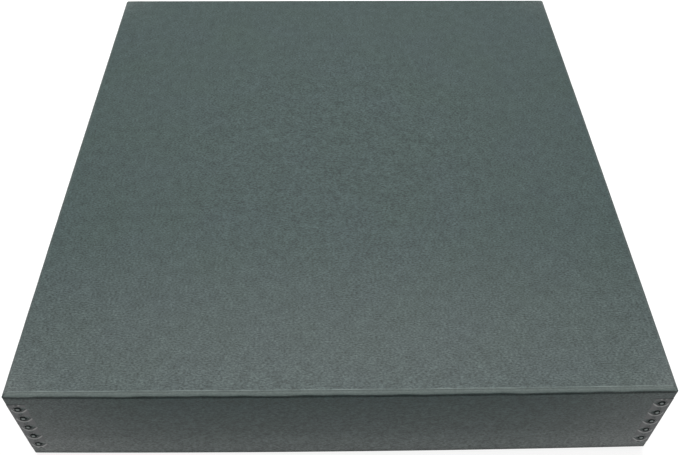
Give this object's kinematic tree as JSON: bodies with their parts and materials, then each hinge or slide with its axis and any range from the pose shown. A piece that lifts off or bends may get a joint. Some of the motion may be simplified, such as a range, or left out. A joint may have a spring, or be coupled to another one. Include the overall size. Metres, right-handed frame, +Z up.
{
  "type": "archival storage box",
  "caption": "Shallow storage box of dark grey-green board: a base tray under a full-depth lift-off lid, with corners stayed by folded metal strips whose prongs clinch inside.",
  "frame": {"origin": "on the table, under the middle of the closed box", "axes": "+Z up, the front wall faces -Y, +X to the right seen from the front, the long side of the plan along Y"},
  "size_m": [0.348, 0.3718, 0.065],
  "materials": {
    "board": "matte",
    "corner_strip": "satin"
  },
  "bodies": {
    "base": {"base_board": "board", "base_edge_front_left": "corner_strip", "base_edge_front_right": "corner_strip", "base_edge_back_right": "corner_strip", "base_edge_back_left": "corner_strip"},
    "lid": {"lid_board": "board", "lid_edge_front_left": "corner_strip", "lid_edge_front_right": "corner_strip", "lid_edge_back_right": "corner_strip", "lid_edge_back_left": "corner_strip"}
  },
  "joints": [
    {"name": "lid_lift", "type": "slide", "parent": "base", "child": "lid", "axis": [0, 0, 1], "range_m": [0, 0.12]}
  ]
}
